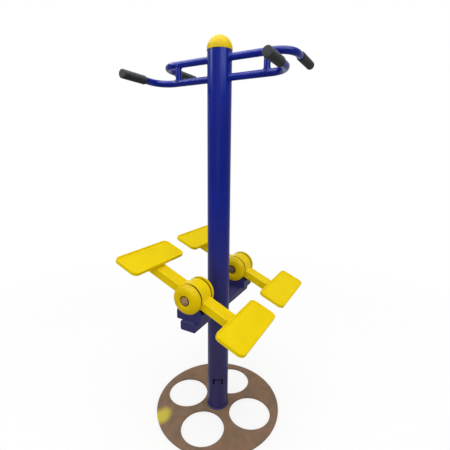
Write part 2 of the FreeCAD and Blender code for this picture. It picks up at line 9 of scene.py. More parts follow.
import bpy
import numpy as np
from mathutils import Matrix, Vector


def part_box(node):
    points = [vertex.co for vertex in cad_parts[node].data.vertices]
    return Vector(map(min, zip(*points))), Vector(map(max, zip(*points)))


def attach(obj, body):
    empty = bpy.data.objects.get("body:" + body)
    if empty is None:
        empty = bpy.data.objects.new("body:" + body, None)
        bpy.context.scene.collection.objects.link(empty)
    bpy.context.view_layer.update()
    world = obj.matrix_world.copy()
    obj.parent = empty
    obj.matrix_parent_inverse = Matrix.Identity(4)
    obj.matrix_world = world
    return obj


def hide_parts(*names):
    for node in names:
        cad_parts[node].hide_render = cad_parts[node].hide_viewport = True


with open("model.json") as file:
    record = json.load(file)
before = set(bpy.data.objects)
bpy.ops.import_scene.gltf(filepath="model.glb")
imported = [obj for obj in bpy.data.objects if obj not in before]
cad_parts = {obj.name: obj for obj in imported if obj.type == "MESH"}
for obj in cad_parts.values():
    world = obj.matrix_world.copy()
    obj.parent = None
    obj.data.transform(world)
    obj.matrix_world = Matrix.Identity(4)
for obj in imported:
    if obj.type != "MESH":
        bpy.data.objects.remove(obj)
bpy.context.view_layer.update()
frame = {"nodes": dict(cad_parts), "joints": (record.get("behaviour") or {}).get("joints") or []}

# Camera, fitted to the photograph
image_pixels = 450                         # side of the square picture
focal_pixels = 313.1
sensor_width = 36.0                        # millimetres
camera_place = (0.7716, -1.3515, 1.4147)
camera_yaw = math.radians(28.55)           # from +Y towards -X
camera_pitch = math.radians(12.69)         # below the horizon
camera_roll = math.radians(0.58)

# Ribbed grips
grip_end_wall = 0.005
grip_round = 0.003                         # radius of the sleeve's outer edges
grip_round_points = 7
grip_rib_pitch = 0.0058
grip_rib_depth = 0.0009
grip_rib_stations = 8                      # points along each rib
grip_sides = 56

# Weld beads
weld_ripple_pitch = 0.0042
weld_ripple_depth = 0.09                   # share of the bead's radius
weld_ripple_lag = 0.3                      # ripples that the crown runs ahead of the toes
weld_spacing = 0.0009                      # between the stations along a bead
weld_sides = 14
weld_end_left = 0.05                       # least distance left at a bead's end, as a share of its radius
foot_weld_radius = 0.0046
beam_weld_radius = 0.0042
plate_weld_radius = 0.0035
groove_weld_radius = 0.0042                # over the beam's rounded corners
groove_share = 0.45                        # of the corner, from the beam's side to that bead's middle
bar_weld_radius = 0.0034
arm_weld_radius = 0.0032
beam_corner = 0.010
arm_corner = 0.006
corner_points = 96                         # round the four corners of a tube's section

# Bolts and washers
shaft_bolt_flats = 0.036
shaft_bolt_head = 0.015
shaft_bolt_shank = 0.012                   # radius
shaft_washer_thickness = 0.003
pedal_bolt_flats = 0.013
pedal_bolt_corner = pedal_bolt_flats / math.sqrt(3)    # from a head's middle
pedal_bolt_shank = 0.004                   # radius
bolt_crown_share = 0.47                    # radius of a head's flat top, as a share of the flats
bolt_chamfer_slope = math.tan(math.radians(30))
bolt_sides = 72
washer_edge_share = 0.2                    # of the thickness, taken off the outer edges

# Thin black rubber rings on the drums' end faces: painted shade in the gaps beside the caps
shade_ring_hole = 0.050                          # radius
shade_ring_inset = 0.001                         # from the drum's edge
shade_ring_thickness = 0.0006

sharp_edge_angle = math.radians(32)
units = {"front": -1, "rear": 1}           # side of the post that each rocker is on, along Y

# Read from the frame
packed_finish = {name: node.material_slots[0].material.name for name, node in frame["nodes"].items()}
pivots = {joint["child"]: np.array(joint["pos_m"], float) for joint in frame["joints"]}
rest_tilt = math.radians(sum(frame["joints"][0]["range_deg"]) / 2)
post_low, post_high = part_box("post")
post_radius = (post_high.x - post_low.x) / 2
plate_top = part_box("base_plate")[1].z
bar_boxes = {level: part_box(level + "_handlebar") for level in ("lower", "upper")}
bar_heights = {level: (low.z + high.z) / 2 for level, (low, high) in bar_boxes.items()}
bar_radius = (bar_boxes["lower"][1].z - bar_boxes["lower"][0].z) / 2

# Greyer, darker film on the blue paint towards the ground, partly painted shade and partly dried
# splashes: none above its top, all of it below its full height
low_shade_top = 1.30
low_shade_full = 0.45

# Overspray near the plate's rim: the Mapping node turns its middle to the origin and its reach to one
overspray_middle = (-0.217, -0.239, plate_top)
overspray_reach = (0.046, 0.061, 0.05)
overspray_stretch = tuple(1 / reach for reach in overspray_reach)
overspray_shift = tuple(-middle / reach for middle, reach in zip(overspray_middle, overspray_reach))

# Painted shade on the bolts and washers at the shafts' inner ends, which face the post
post_shade_fade = 0.003
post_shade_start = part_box("rear_shaft_bolts")[0].y + shaft_bolt_head + shaft_washer_thickness
post_shade_end = post_shade_start + post_shade_fade


def node_points(node):
    """Vertices of a CAD node at rest, as an array of shape (count, 3)."""
    mesh = frame["nodes"][node].data
    points = np.empty(len(mesh.vertices) * 3, np.float32)
    mesh.vertices.foreach_get("co", points)
    return points.reshape(-1, 3).astype(float)


def tilted(points, rocker):
    """Points of a level rocker, measured from its pivot, carried to where the rocker rests."""
    x, y, z = np.moveaxis(np.asarray(points, float), -1, 0)
    cosine, sine = math.cos(rest_tilt), math.sin(rest_tilt)
    return np.stack([x * cosine + z * sine, y, z * cosine - x * sine], -1) + pivots[rocker]


def level_box(node, rocker):
    """Lowest and highest corner of a rocker's node, measured from the pivot with the rocker level."""
    x, y, z = (node_points(node) - pivots[rocker]).T
    cosine, sine = math.cos(rest_tilt), math.sin(rest_tilt)
    level = np.stack([x * cosine - z * sine, y, z * cosine + x * sine], -1)
    return level.min(0), level.max(0)


# Surfaces

def unit_vectors(vectors):
    """Vectors of length one in the same directions."""
    return vectors / np.linalg.norm(vectors, axis=-1, keepdims=True)


def full_turn(count):
    """Angles of points evenly spaced round a circle."""
    return np.linspace(0, 2 * np.pi, count, endpoint=False)


def weld_turn(radius):
    """Angles round a circle, a weld's station spacing apart."""
    return full_turn(int(2 * np.pi * radius / weld_spacing))


def tube_shell(rings, closed):
    """Closed shell over rings of points, shape (stations, sides, 3), with its faces pointing outwards.

    Each ring is joined to the next by quads. On a closed path the last ring joins the first; on an open
    one a fan of triangles from the middle of each end ring closes the shell.
    """
    stations, sides = rings.shape[:2]
    points = rings.reshape(-1, 3)
    row = np.arange(stations if closed else stations - 1)[:, None] * sides
    next_row = (row + sides) % (stations * sides)
    side = np.arange(sides)[None, :]
    next_side = (side + 1) % sides
    quads = np.stack([row + side, row + next_side, next_row + next_side, next_row + side], -1)
    quads = quads.reshape(-1, 4)
    triangles = np.empty((0, 3), int)
    if not closed:
        middles = rings[[0, -1]].mean(1)
        first, last = len(points), len(points) + 1
        points = np.concatenate([points, middles])
        end_row = (stations - 1) * sides
        start_fan = np.stack(np.broadcast_arrays(first, next_side[0], side[0]), -1)
        end_fan = np.stack(np.broadcast_arrays(last, end_row + side[0], end_row + next_side[0]), -1)
        triangles = np.concatenate([start_fan, end_fan])
    halves = np.concatenate([quads[:, [0, 1, 2]], quads[:, [0, 2, 3]], triangles])
    a, b, c = np.moveaxis(points[halves], 1, 0)
    if np.einsum("ij,ij->", a, np.cross(b, c)) < 0:
        quads, triangles = quads[:, ::-1], triangles[:, ::-1]
    return points, quads, triangles


def add_piece(name, shells, finish, body, replaced=()):
    """One object made of closed shells, which rides on a CAD body and has the look of a material slot."""
    points, faces, start = [], [], 0
    for shell_points, quads, triangles in shells:
        points.append(shell_points)
        faces += (quads + start).tolist() + (triangles + start).tolist()
        start += len(shell_points)
    mesh = bpy.data.meshes.new(name)
    mesh.from_pydata(np.concatenate(points), [], faces)
    mesh.shade_smooth()
    mesh.set_sharp_from_angle(angle=sharp_edge_angle)
    mesh.materials.append(finishes[finish])
    piece = bpy.data.objects.new(name, mesh)
    bpy.context.scene.collection.objects.link(piece)
    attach(piece, body)
    if replaced:
        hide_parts(*replaced)


def weld_bead(path, first_normal, second_normal, radius, closed=True):
    """Weld bead in the corner of two surfaces: a circle carried along the path on which they meet.

    The circle's radius swells with the sine of the distance along the path, once per ripple. The phase
    also grows with the cosine of the angle from the crown, which bends each ripple to a crescent. On an
    open path the radius falls away at both ends as the root of the distance left.
    """
    if closed:
        steps = np.roll(path, -1, 0) - path
        tangent = unit_vectors(np.roll(path, -1, 0) - np.roll(path, 1, 0))
    else:
        steps = np.diff(path, axis=0)
        tangent = unit_vectors(np.gradient(path, axis=0))
    lengths = np.linalg.norm(steps, axis=1)
    total = lengths.sum()
    distance = np.concatenate([[0.0], np.cumsum(lengths)])[:len(path)]
    crown = unit_vectors(first_normal) + unit_vectors(second_normal)
    crown = unit_vectors(crown - tangent * np.sum(crown * tangent, -1, keepdims=True))
    across = np.cross(tangent, crown)
    angle = full_turn(weld_sides)
    ripples = round(total / weld_ripple_pitch)
    phase = 2 * np.pi * (ripples * distance[:, None] / total + weld_ripple_lag * np.cos(angle))
    reach = radius * (1 + weld_ripple_depth * np.sin(phase))
    if not closed:
        left = np.minimum(distance, total - distance) / radius
        reach = reach * np.sqrt(np.clip(left, weld_end_left, 1))[:, None]
    spokes = np.cos(angle)[:, None] * crown[:, None] + np.sin(angle)[:, None] * across[:, None]
    return tube_shell(path[:, None] + reach[..., None] * spokes, closed)


def straight_bead(start, end, first_normal, second_normal, radius):
    """Weld bead on the straight line from one point to another."""
    start, end = np.asarray(start, float), np.asarray(end, float)
    count = int(np.linalg.norm(end - start) / weld_spacing) + 2
    path = start + np.linspace(0, 1, count)[:, None] * (end - start)
    normals = [np.broadcast_to(np.asarray(n, float), path.shape) for n in (first_normal, second_normal)]
    return weld_bead(path, *normals, radius, closed=False)


def rounded_rectangle(width, height, corner):
    """Evenly spaced points and outward normals round a rectangle with quarter-circle corners.

    A point is the corner's centre in its quadrant plus the corner's radius in the normal's direction.
    The loop of these points is then walked at equal distances, which also fills the straight sides.
    """
    turn = (np.arange(corner_points) + 0.5) / corner_points * 2 * np.pi
    normal = np.stack([np.cos(turn), np.sin(turn)], -1)
    centre = np.sign(normal) * np.array([width / 2 - corner, height / 2 - corner])
    loop = centre + corner * normal
    loop, normal = (np.concatenate([a, a[:1]]) for a in (loop, normal))
    walked = np.concatenate([[0.0], np.cumsum(np.linalg.norm(np.diff(loop, axis=0), axis=1))])
    stations = np.linspace(0, walked[-1], int(walked[-1] / weld_spacing), endpoint=False)
    points = np.stack([np.interp(stations, walked, loop[:, i]) for i in range(2)], -1)
    normals = np.stack([np.interp(stations, walked, normal[:, i]) for i in range(2)], -1)
    return points, unit_vectors(normals)


def foot_weld():
    """Circle on the plate round the post."""
    turn = weld_turn(post_radius)
    out = np.stack([np.cos(turn), np.sin(turn), 0 * turn], -1)
    path = post_radius * out + [0, 0, plate_top]
    return weld_bead(path, out, np.broadcast_to([0.0, 0, 1], out.shape), foot_weld_radius)


def beam_weld(unit):
    """Outline of the beam's section, carried along Y on to the round of the post."""
    low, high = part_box(unit + "_beam")
    outline, normal = rounded_rectangle(high.x - low.x, high.z - low.z, beam_corner)
    x, z = outline.T
    y = units[unit] * np.sqrt(post_radius ** 2 - x ** 2)
    path = np.stack([x, y, z + (low.z + high.z) / 2], -1)
    beam_side = np.stack([normal[:, 0], 0 * x, normal[:, 1]], -1)
    post_side = np.stack([x, y, 0 * x], -1)
    return weld_bead(path, beam_side, post_side, beam_weld_radius)


def bar_weld(level, side):
    """Circle of the bar's section, carried along X on to the round of the post."""
    turn = weld_turn(bar_radius)
    y, z = bar_radius * np.cos(turn), bar_radius * np.sin(turn)
    x = side * np.sqrt(post_radius ** 2 - y ** 2)
    path = np.stack([x, y, z + bar_heights[level]], -1)
    bar_side = np.stack([0 * x, y, z], -1)
    post_side = np.stack([x, y, 0 * x], -1)
    return weld_bead(path, bar_side, post_side, bar_weld_radius)


def strut_weld(node, level, above):
    """Circle of the strut's section, carried along Z on to the round of the bar; `above` is 1 or -1."""
    low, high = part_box(node)
    radius = (high.x - low.x) / 2
    turn = weld_turn(radius)
    x, y = radius * np.cos(turn), radius * np.sin(turn)
    z = above * np.sqrt(bar_radius ** 2 - y ** 2)
    path = np.stack([x + (low.x + high.x) / 2, y, z + bar_heights[level]], -1)
    strut_side = np.stack([x, y, 0 * x], -1)
    bar_side = np.stack([0 * x, y, z], -1)
    return weld_bead(path, strut_side, bar_side, bar_weld_radius)


def cheek_welds(unit):
    """Straight beads where the cheeks and the stop plate stand on the beam."""
    beam_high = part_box(unit + "_beam")[1]
    half_flat = beam_high.x - beam_corner
    top = beam_high.z
    pivot_y = pivots[unit + "_rocker"][1]
    beads = []
    for end in ("outer", "inner"):
        low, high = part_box(unit + "_" + end + "_cheek")
        away = 1.0 if low.y > pivot_y else -1.0
        y = high.y if away > 0 else low.y
        line = (-half_flat, y, top), (half_flat, y, top)
        beads.append(straight_bead(*line, (0, away, 0), (0, 0, 1), plate_weld_radius))
    low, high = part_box(unit + "_stop_plate")
    for side in (-1.0, 1.0):
        groove = side * (beam_high.x - groove_share * beam_corner)
        line = (groove, low.y, top), (groove, high.y, top)
        beads.append(straight_bead(*line, (side, 0, 0), (0, 0, -1), groove_weld_radius))
    return beads


def arm_weld(unit, side):
    """Outline of the arm's section, carried along the level arm on to the round of the drum."""
    rocker = unit + "_rocker"
    arm_low, arm_high = level_box(unit + "_right_arm", rocker)
    drum_radius = level_box(unit + "_drum", rocker)[1][2]
    outline, normal = rounded_rectangle(arm_high[1] - arm_low[1], arm_high[2] - arm_low[2], arm_corner)
    y, z = outline.T
    x = side * np.sqrt(drum_radius ** 2 - z ** 2)
    path = np.stack([x, y, z], -1)
    arm_side = np.stack([0 * x, normal[:, 0], normal[:, 1]], -1)
    drum_side = np.stack([x, 0 * x, z], -1)
    points, quads, triangles = weld_bead(path, arm_side, drum_side, arm_weld_radius)
    return tilted(points, rocker), quads, triangles


def pedal_plate_welds(unit):
    """Straight beads under the pedal plates, along both sides of each arm."""
    rocker = unit + "_rocker"
    arm_low, arm_high = level_box(unit + "_right_arm", rocker)
    plate_low, plate_high = level_box(unit + "_pedal_plates", rocker)
    pedal_low, pedal_high = level_box(unit + "_right_pedal", rocker)
    plate_inner = pedal_low[0] + pedal_high[0] - plate_high[0]    # its outer end, mirrored in the pedal
    under = plate_low[2]
    beads = []
    for side in (-1, 1):
        for y in (arm_low[1], arm_high[1]):
            line = (side * plate_inner, y, under), (side * arm_high[0], y, under)
            bead = straight_bead(*line, (0, math.copysign(1, y), 0), (0, 0, -1), plate_weld_radius)
            beads.append((tilted(bead[0], rocker), *bead[1:]))
    return beads


def ribbed_grip(node):
    """Sleeve turned about the bar's leg: bore, rounded rim, ribbed length and rounded closed end.

    Along the ribbed length the radius drops from the crest by the cube of a raised cosine, once per rib,
    which leaves broad ribs between narrow grooves.
    """
    low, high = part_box(node)
    toward = math.copysign(1, low.y + high.y)
    start, end = sorted((abs(low.y), abs(high.y)))
    length = end - start
    sleeve = (high.x - low.x) / 2
    ribbed_length = length - 2 * grip_round
    ribs = round(ribbed_length / grip_rib_pitch)
    along = np.linspace(0, 1, grip_rib_stations * ribs + 1)
    groove = (0.5 - 0.5 * np.cos(2 * np.pi * ribs * along)) ** 3
    bend = np.linspace(0, np.pi / 2, grip_round_points)
    inset, rise = grip_round * (1 - np.sin(bend)), grip_round * (1 - np.cos(bend))
    profile = np.concatenate([
        [[bar_radius, length - grip_end_wall], [bar_radius, 0]],
        np.stack([sleeve - inset, rise], -1),
        np.stack([sleeve - grip_rib_depth * groove, grip_round + ribbed_length * along], -1)[1:-1],
        np.stack([sleeve - inset, length - rise], -1)[::-1],
    ])
    turn = full_turn(grip_sides)
    radius, station = profile[:, :1], profile[:, 1:]
    rings = np.stack([(low.x + high.x) / 2 + radius * np.cos(turn),
                      toward * (start + station) + 0 * turn,
                      (low.z + high.z) / 2 + radius * np.sin(turn)], -1)
    return tube_shell(rings, closed=False)


def hexagon_bolt(flats, head, shank, shank_length):
    """Bolt about the third axis, head above zero, as rings of points.

    The head's outline is half the flats over the cosine of the angle from the nearest flat's middle. Its
    top falls away from a circle inside the flats by the chamfer's slope times the distance beyond it.
    """
    turn = full_turn(bolt_sides)
    from_flat = (turn % (np.pi / 3)) - np.pi / 6
    outline = flats / 2 / np.cos(from_flat)
    crown = bolt_crown_share * flats + 0 * turn
    shoulder = head - bolt_chamfer_slope * (outline - crown)
    radii = np.stack([crown, outline, outline, shank + 0 * turn, shank + 0 * turn])
    heights = np.stack([head + 0 * turn, shoulder, 0 * turn, 0 * turn, 0 * turn - shank_length])
    return np.stack([radii * np.cos(turn), radii * np.sin(turn), heights], -1)


def washer(hole, radius, thickness):
    """Flat ring about the third axis, standing on zero, with softened outer edges, as rings of points."""
    turn = full_turn(bolt_sides)
    soft = washer_edge_share * thickness
    profile = np.array([[hole, 0], [radius - soft, 0], [radius, soft], [radius, thickness - soft],
                        [radius - soft, thickness], [hole, thickness]])
    radii, heights = profile[:, :1], profile[:, 1:]
    return np.stack([radii * np.cos(turn), radii * np.sin(turn), heights + 0 * turn], -1)


def shaft_bolt_set(unit):
    """Bolt and washer at both ends of a pivot shaft, in place of the plain ones."""
    low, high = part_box(unit + "_shaft_bolts")
    pivot = pivots[unit + "_rocker"]
    head_face = (high.y - low.y) / 2
    washer_radius = (high.x - low.x) / 2
    washer_face = head_face - shaft_bolt_head
    washer_back = washer_face - shaft_washer_thickness
    bolt = hexagon_bolt(shaft_bolt_flats, shaft_bolt_head, shaft_bolt_shank, 2 * shaft_washer_thickness)
    disc = washer(shaft_bolt_shank, washer_radius, shaft_washer_thickness)
    shells = []
    for side in (-1, 1):
        for rings, seat, closed in ((bolt, washer_face, False), (disc, washer_back, True)):
            across, up, out = np.moveaxis(rings, -1, 0)
            shells.append(tube_shell(np.stack([across, side * (out + seat), up], -1) + pivot, closed))
    return shells


def pedal_bolt_set(unit):
    """The eight bolts under a rocker's pedals, heads down."""
    rocker = unit + "_rocker"
    bolts_low, bolts_high = level_box(unit + "_pedal_bolts", rocker)
    plate_under = level_box(unit + "_pedal_plates", rocker)[0][2]
    pedal_low, pedal_high = level_box(unit + "_right_pedal", rocker)
    pedal_middle = (pedal_low[0] + pedal_high[0]) / 2
    x_step = bolts_high[0] - pedal_bolt_corner - pedal_middle
    y_step = bolts_high[1] - pedal_bolt_flats / 2
    head = plate_under - bolts_low[2]
    bolt = hexagon_bolt(pedal_bolt_flats, head, pedal_bolt_shank, bolts_high[2] - plate_under)
    across, back, down = np.moveaxis(bolt, -1, 0)
    shells = []
    for middle in (-pedal_middle, pedal_middle):
        for x in (middle - x_step, middle + x_step):
            for y in (-y_step, y_step):
                rings = np.stack([across + x, back + y, plate_under - down], -1)
                shells.append(tube_shell(tilted(rings, rocker), closed=False))
    return shells


def drum_shade_rings(unit):
    """Thin black ring on both end faces of a drum, turned about the pivot, clear of the cheek beside it:
    painted shade in the gap beside the cap.
    """
    rocker = unit + "_rocker"
    drum_high = level_box(unit + "_drum", rocker)[1]
    disc = washer(shade_ring_hole, drum_high[2] - shade_ring_inset, shade_ring_thickness)
    across, up, out = np.moveaxis(disc, -1, 0)
    shells = []
    for side in (-1, 1):
        rings = np.stack([across, side * (drum_high[1] + out), up], -1)
        shells.append(tube_shell(rings + pivots[rocker], closed=True))
    return shells


# Materials

# Colours, as linear red, green and blue
deep_blue = (0.0035, 0.0120, 0.222)
clear_blue = (0.0050, 0.0160, 0.270)
# greyish purple of the low film on the blue paint, partly painted shade
shade_and_splash_film = (0.050, 0.040, 0.070)
blue_scratch = (0.075, 0.085, 0.22)
blue_wear = (0.060, 0.065, 0.16)
# pale lavender of dust on the blue, which also paints the highlight along the tops
blue_dust_and_sheen = (0.30, 0.27, 0.31)
paint_yellows = (0.82, 0.585, 0.0010), (0.88, 0.645, 0.0014)
casting_yellows = (0.84, 0.615, 0.0010), (0.88, 0.660, 0.0014)
plastic_yellows = (0.72, 0.500, 0.0010), (0.79, 0.560, 0.0012)
yellow_scratch = (0.60, 0.40, 0.01)
yellow_wear = (0.66, 0.45, 0.01)
yellow_dust = (0.60, 0.44, 0.02)
olive_primer = (0.180, 0.119, 0.071)
red_primer = (0.262, 0.147, 0.083)
pale_primer = (0.275, 0.198, 0.128)
primer_speck = (0.085, 0.055, 0.036)
# dark brown of the painted shade along the plate's edges
primer_edge_shade = (0.075, 0.058, 0.042)
overspray_yellow = (0.68, 0.55, 0.055)
brown_zinc = (0.30, 0.18, 0.088)
pale_zinc = (0.36, 0.22, 0.108)
rust_brown = (0.20, 0.105, 0.060)
# dark brown of the painted shade on the bolts and washers by the post
painted_shade_brown = (0.050, 0.026, 0.011)
dark_steel = (0.50, 0.51, 0.53)
light_steel = (0.60, 0.61, 0.62)
grip_blacks = (0.013, 0.0145, 0.0155), (0.021, 0.0235, 0.0245)
buffer_blacks = (0.015, 0.015, 0.015), (0.024, 0.024, 0.024)
plug_blacks = (0.022, 0.022, 0.023), (0.032, 0.032, 0.033)
rubber_dust = (0.17, 0.17, 0.165)


class Graph:
    """Adds nodes to one tree. Inputs given as sockets are linked, and plain values are set."""

    def __init__(self, tree):
        self.tree = tree
        tree.nodes.clear()

    def add(self, kind, inputs=None, **settings):
        """New node with its settings and inputs."""
        node = self.tree.nodes.new(kind)
        for name, value in settings.items():
            setattr(node, name, value)
        for key, value in (inputs or {}).items():
            self.put(node.inputs[key], value)
        return node

    def put(self, socket, value):
        """Links one socket to another, or sets a plain value on it."""
        if isinstance(value, bpy.types.NodeSocket):
            self.tree.links.new(value, socket)
        else:
            socket.default_value = value

    def place(self):
        """Object coordinates of the surface."""
        return self.add("ShaderNodeTexCoord").outputs["Object"]

    def mapped(self, **values):
        """Object coordinates, moved, turned or stretched by a Mapping node."""
        return self.add("ShaderNodeMapping", {"Vector": self.place(), **values}).outputs[0]

    def axis(self, vector, name):
        """One coordinate of a vector, by its letter."""
        return self.add("ShaderNodeSeparateXYZ", {0: vector}).outputs[name]

    def length(self, vector):
        """Length of a vector."""
        return self.add("ShaderNodeVectorMath", {0: vector}, operation="LENGTH").outputs["Value"]

    def noise(self, scale, detail=2.0, roughness=0.5, vector=None):
        """Soft noise from 0 to 1, over the surface or another vector."""
        inputs = {"Vector": vector or self.place(), "Scale": scale}
        inputs.update({"Detail": detail, "Roughness": roughness})
        return self.add("ShaderNodeTexNoise", inputs).outputs["Fac"]

    def maths(self, operation, first, second=0.0, clamp=False):
        """One or two values through a Math node."""
        node = self.add("ShaderNodeMath", {0: first, 1: second}, operation=operation, use_clamp=clamp)
        return node.outputs[0]

    def share(self, value, amount, clamp=False):
        """A value times an amount."""
        return self.maths("MULTIPLY", value, amount, clamp)

    def fade(self, value, start, end):
        """Smooth step from 0 at `start` to 1 at `end`, which may be the smaller of the two."""
        inputs = {"Value": value, "From Min": start, "From Max": end}
        node = self.add("ShaderNodeMapRange", inputs, interpolation_type="SMOOTHSTEP")
        return node.outputs["Result"]

    def span(self, value, start, end):
        """A value from 0 to 1, stretched to run from `start` to `end`."""
        inputs = {"Value": value, "To Min": start, "To Max": end}
        return self.add("ShaderNodeMapRange", inputs).outputs["Result"]

    def blend(self, factor, first, second):
        """First colour where the factor is 0, second where it is 1.

        A Mix node for colours has its factor at input 0, its colours at 6 and 7, its result at output 2.
        """
        node = self.add("ShaderNodeMix", data_type="RGBA")
        self.put(node.inputs[0], factor)
        for index, colour in ((6, first), (7, second)):
            self.put(node.inputs[index], (*colour, 1.0) if isinstance(colour, tuple) else colour)
        return node.outputs[2]

    def effect(self, group, **values):
        """A shared node group with its own values; returns its output."""
        return self.add("ShaderNodeGroup", values, node_tree=effects[group]).outputs[0]

    def bump(self, height, depth):
        """Normals bent by a height, which counts in steps of `depth` metres."""
        inputs = {"Height": height, "Distance": depth, "Strength": 1.0}
        return self.add("ShaderNodeBump", inputs).outputs["Normal"]


def shared_effect(name, inputs, output):
    """Empty shader node group with value inputs, given with their defaults, and one value output."""
    tree = bpy.data.node_groups.new(name, "ShaderNodeTree")
    for socket, default in inputs.items():
        entry = tree.interface.new_socket(socket, in_out="INPUT", socket_type="NodeSocketFloat")
        entry.default_value = default
    tree.interface.new_socket(output, in_out="OUTPUT", socket_type="NodeSocketFloat")
    graph = Graph(tree)
    entries = graph.add("NodeGroupInput").outputs
    leave = graph.add("NodeGroupOutput").inputs[output]
    return graph, entries, leave


def coat_ripple():
    """Orange peel of a powder coat: soft cells a few millimetres wide with a finer grain on them."""
    graph, entries, leave = shared_effect("coat_ripple", {"Scale": 260.0, "Grain": 0.25}, "Height")
    cells = graph.noise(entries["Scale"], detail=0.0)
    grain = graph.noise(graph.share(entries["Scale"], amount=4.5), detail=1.0)
    graph.put(leave, graph.maths("ADD", cells, graph.share(grain, entries["Grain"])))
    return graph.tree


def edge_band():
    """Band along convex edges, where the bevelled normal leans off the flat one, broken up by noise."""
    graph, entries, leave = shared_effect("edge_band", {"Width": 0.002, "Break": 120.0}, "Mask")
    rounded = graph.add("ShaderNodeBevel", {"Radius": entries["Width"]}, samples=6).outputs["Normal"]
    plain = graph.add("ShaderNodeNewGeometry").outputs["Normal"]
    both = {0: rounded, 1: plain}
    agreement = graph.add("ShaderNodeVectorMath", both, operation="DOT_PRODUCT").outputs["Value"]
    band = graph.fade(graph.maths("SUBTRACT", 1.0, agreement), start=0.02, end=0.22)
    chips = graph.noise(entries["Break"], detail=4.0, roughness=0.65)
    broken = graph.fade(chips, start=0.42, end=0.62)
    graph.put(leave, graph.share(band, broken))
    return graph.tree


def settled_dust():
    """Dust on faces that look up, thicker in patches."""
    graph, entries, leave = shared_effect("settled_dust", {"Amount": 0.3, "Scale": 18.0}, "Mask")
    upward = graph.axis(graph.add("ShaderNodeTexCoord").outputs["Normal"], "Z")
    patches = graph.noise(entries["Scale"], detail=5.0, roughness=0.6)
    depth = graph.span(patches, start=0.2, end=1.0)
    lying = graph.share(graph.fade(upward, start=0.35, end=0.95), depth)
    graph.put(leave, graph.share(lying, entries["Amount"], clamp=True))
    return graph.tree


def tone_drift():
    """Slow drift of tone over a surface, from 0 to 1."""
    graph, entries, leave = shared_effect("tone_drift", {"Scale": 6.0}, "Factor")
    drift = graph.noise(entries["Scale"], detail=3.0, roughness=0.55)
    graph.put(leave, graph.fade(drift, start=0.3, end=0.7))
    return graph.tree


def hair_scratches():
    """Sparse fine scratches: two stretched noises, turned apart, kept only near their middle value."""
    graph, entries, leave = shared_effect("hair_scratches", {"Scale": 60.0, "Width": 0.012}, "Mask")
    stretch = (1.0, 0.06, 0.35)
    lines = []
    for turn in (0.5, -0.9):
        stretched = graph.mapped(Rotation=(0.2, turn, 2 * turn), Scale=stretch)
        swing = graph.noise(entries["Scale"], detail=2.0, vector=stretched)
        off_middle = graph.maths("ABSOLUTE", graph.maths("SUBTRACT", swing, 0.5))
        lines.append(graph.maths("LESS_THAN", off_middle, graph.share(entries["Width"], amount=0.5)))
    sparse = graph.fade(graph.noise(scale=14.0, detail=2.0), start=0.52, end=0.66)
    graph.put(leave, graph.share(graph.maths("MAXIMUM", *lines), sparse))
    return graph.tree


effects = {}
for make_effect in (coat_ripple, edge_band, settled_dust, tone_drift, hair_scratches):
    effects[make_effect.__name__] = make_effect()


def finish_graph(name):
    """New material with an empty graph, its Principled shader and that shader's inputs."""
    material = bpy.data.materials.new("look_" + name)
    material.use_nodes = True
    graph = Graph(material.node_tree)
    shader = graph.add("ShaderNodeBsdfPrincipled")
    graph.add("ShaderNodeOutputMaterial", {"Surface": shader.outputs[0]})
    return material, graph, shader.inputs


def blue_paint():
    """Deep blue powder coat, with a greyer film that thickens towards the ground: partly painted shade,
    partly dried splashes.
    """
    material, graph, shader = finish_graph("blue_paint")
    drift = graph.effect("tone_drift", Scale=5.0)
    coat = graph.blend(drift, deep_blue, clear_blue)
    # painted shade and splash film: the paint turns greyer and darker towards the ground
    lowness = graph.fade(graph.axis(graph.place(), "Z"), start=low_shade_top, end=low_shade_full)
    upright = graph.mapped(Scale=(1.0, 1.0, 0.12))
    streaks = graph.noise(scale=22.0, detail=5.0, roughness=0.6, vector=upright)
    shade_and_film = graph.share(lowness, graph.span(streaks, start=0.55, end=1.25))
    shade_and_film = graph.share(shade_and_film, amount=0.80, clamp=True)
    coat = graph.blend(shade_and_film, coat, shade_and_splash_film)
    scratches = graph.share(graph.effect("hair_scratches", Scale=55.0, Width=0.008), amount=0.20)
    coat = graph.blend(scratches, coat, blue_scratch)
    wear = graph.share(graph.effect("edge_band", Width=0.0014, Break=90.0), amount=0.15)
    coat = graph.blend(wear, coat, blue_wear)
    # dust on the faces that look up, whose pale lavender also paints the highlight along the bars' tops
    dust = graph.effect("settled_dust", Amount=0.09, Scale=22.0)
    graph.put(shader["Base Color"], graph.blend(dust, coat, blue_dust_and_sheen))
    dull = graph.maths("ADD", graph.share(shade_and_film, amount=0.25), graph.share(dust, amount=1.2))
    gloss = graph.span(drift, start=0.17, end=0.22)
    graph.put(shader["Roughness"], graph.maths("ADD", gloss, dull, clamp=True))
    shader["Specular IOR Level"].default_value = 0.08
    ripple = graph.effect("coat_ripple", Scale=230.0, Grain=0.15)
    graph.put(shader["Normal"], graph.bump(ripple, depth=0.00006))
    return material


